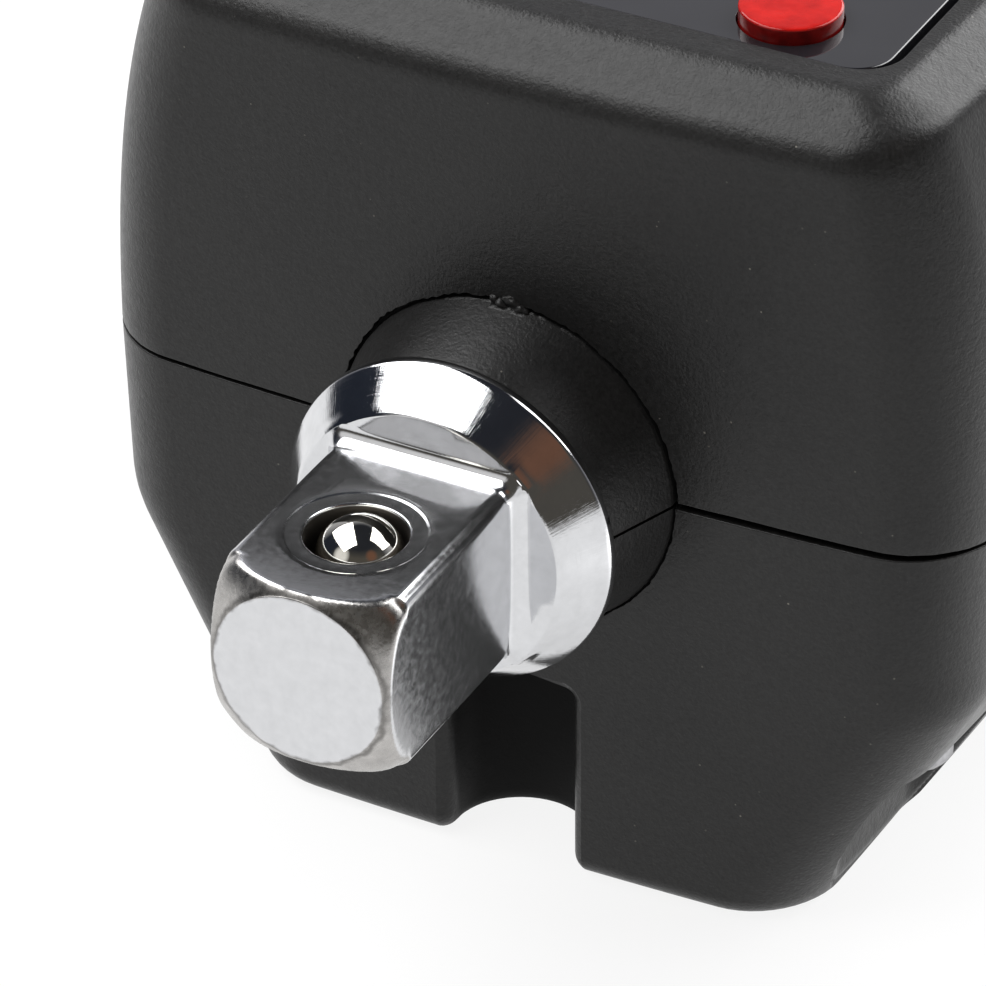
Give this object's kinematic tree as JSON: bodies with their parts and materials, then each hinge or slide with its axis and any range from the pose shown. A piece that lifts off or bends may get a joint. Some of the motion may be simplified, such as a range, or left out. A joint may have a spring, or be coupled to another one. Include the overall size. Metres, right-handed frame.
{
  "type": "digital torque adapter",
  "caption": "Electronic torque meter used between wrench and socket: male square with sprung ball, shaft through a two-shell body, female square behind, display and buttons on top.",
  "frame": {"origin": "centre of the male square's end face, on the drive axis", "axes": "the drive axis is Y with the male square towards -Y, +Z out of the display, +X to the right seen from the drive end"},
  "size_m": [0.05, 0.0826, 0.0476],
  "materials": {
    "shell": "fine spark-eroded texture, black",
    "panel": "gloss, smoke",
    "button": "gloss, translucent red",
    "chrome": "polished plate, fine turning marks",
    "ball": "polished steel",
    "spring": "drawn wire",
    "screw": "zinc plated",
    "nickel": "nickel plated strip",
    "seal": "matte",
    "board": "solder mask green",
    "chip": "moulded black",
    "frame": "matte grey",
    "lcd": "polished glass",
    "light_guide": "clear diffuse",
    "foil": "amber film",
    "cell": "plain printed sleeve",
    "switch": "moulded black"
  },
  "bodies": {
    "body": {"torque_shaft": "chrome", "upper_housing": "shell", "lower_housing": "shell", "display_panel": "panel", "lcd_frame": "frame", "lcd_glass": "lcd", "lcd_backlight": "light_guide", "circuit_board": "board", "controller_chip": "chip", "buzzer": "chip", "indicator_led": "button", "upper_strain_gauge": "foil", "lower_strain_gauge": "foil", "gauge_flex_lead": "foil", "front_seal_ring": "seal", "rear_seal_ring": "seal", "detent_spring": "spring", "battery_cell_left": "cell", "battery_cell_right": "cell", "front_contact_plate": "nickel", "rear_contact_left": "nickel", "rear_contact_right": "nickel", "contact_spring_left": "spring", "contact_spring_right": "spring", "tact_switch_1": "switch", "tact_switch_2": "switch", "tact_switch_3": "switch", "tact_switch_4": "switch", "housing_screw_front_left": "screw", "housing_screw_front_right": "screw", "housing_screw_rear_left": "screw", "housing_screw_rear_right": "screw", "board_screw_front_left": "screw", "board_screw_front_right": "screw", "board_screw_rear_left": "screw", "board_screw_rear_right": "screw"},
    "unit_button": {"unit_button": "button", "switch_plunger_1": "switch"},
    "down_button": {"down_button": "button", "switch_plunger_2": "switch"},
    "up_button": {"up_button": "button", "switch_plunger_3": "switch"},
    "power_button": {"power_button": "button", "switch_plunger_4": "switch"},
    "detent_ball": {"detent_ball": "ball"},
    "battery_door": {"battery_door": "shell"}
  },
  "joints": [
    {"name": "unit_press", "type": "slide", "parent": "body", "child": "unit_button", "axis": [0, 0, -1], "range_m": [0, 0.0005], "stiffness_N_per_m": 1000, "springref_m": -0.0003},
    {"name": "down_press", "type": "slide", "parent": "body", "child": "down_button", "axis": [0, 0, -1], "range_m": [0, 0.0005], "stiffness_N_per_m": 1000, "springref_m": -0.0003},
    {"name": "up_press", "type": "slide", "parent": "body", "child": "up_button", "axis": [0, 0, -1], "range_m": [0, 0.0005], "stiffness_N_per_m": 1000, "springref_m": -0.0003},
    {"name": "power_press", "type": "slide", "parent": "body", "child": "power_button", "axis": [0, 0, -1], "range_m": [0, 0.0005], "stiffness_N_per_m": 1000, "springref_m": -0.0003},
    {"name": "ball_press", "type": "slide", "parent": "body", "child": "detent_ball", "axis": [0, 0, -1], "range_m": [0, 0.0007], "stiffness_N_per_m": 3000, "springref_m": -0.0004, "deforming": ["detent_spring"]},
    {"name": "door_slide", "type": "slide", "parent": "body", "child": "battery_door", "axis": [0, 1, 0], "range_m": [0, 0.006]}
  ]
}
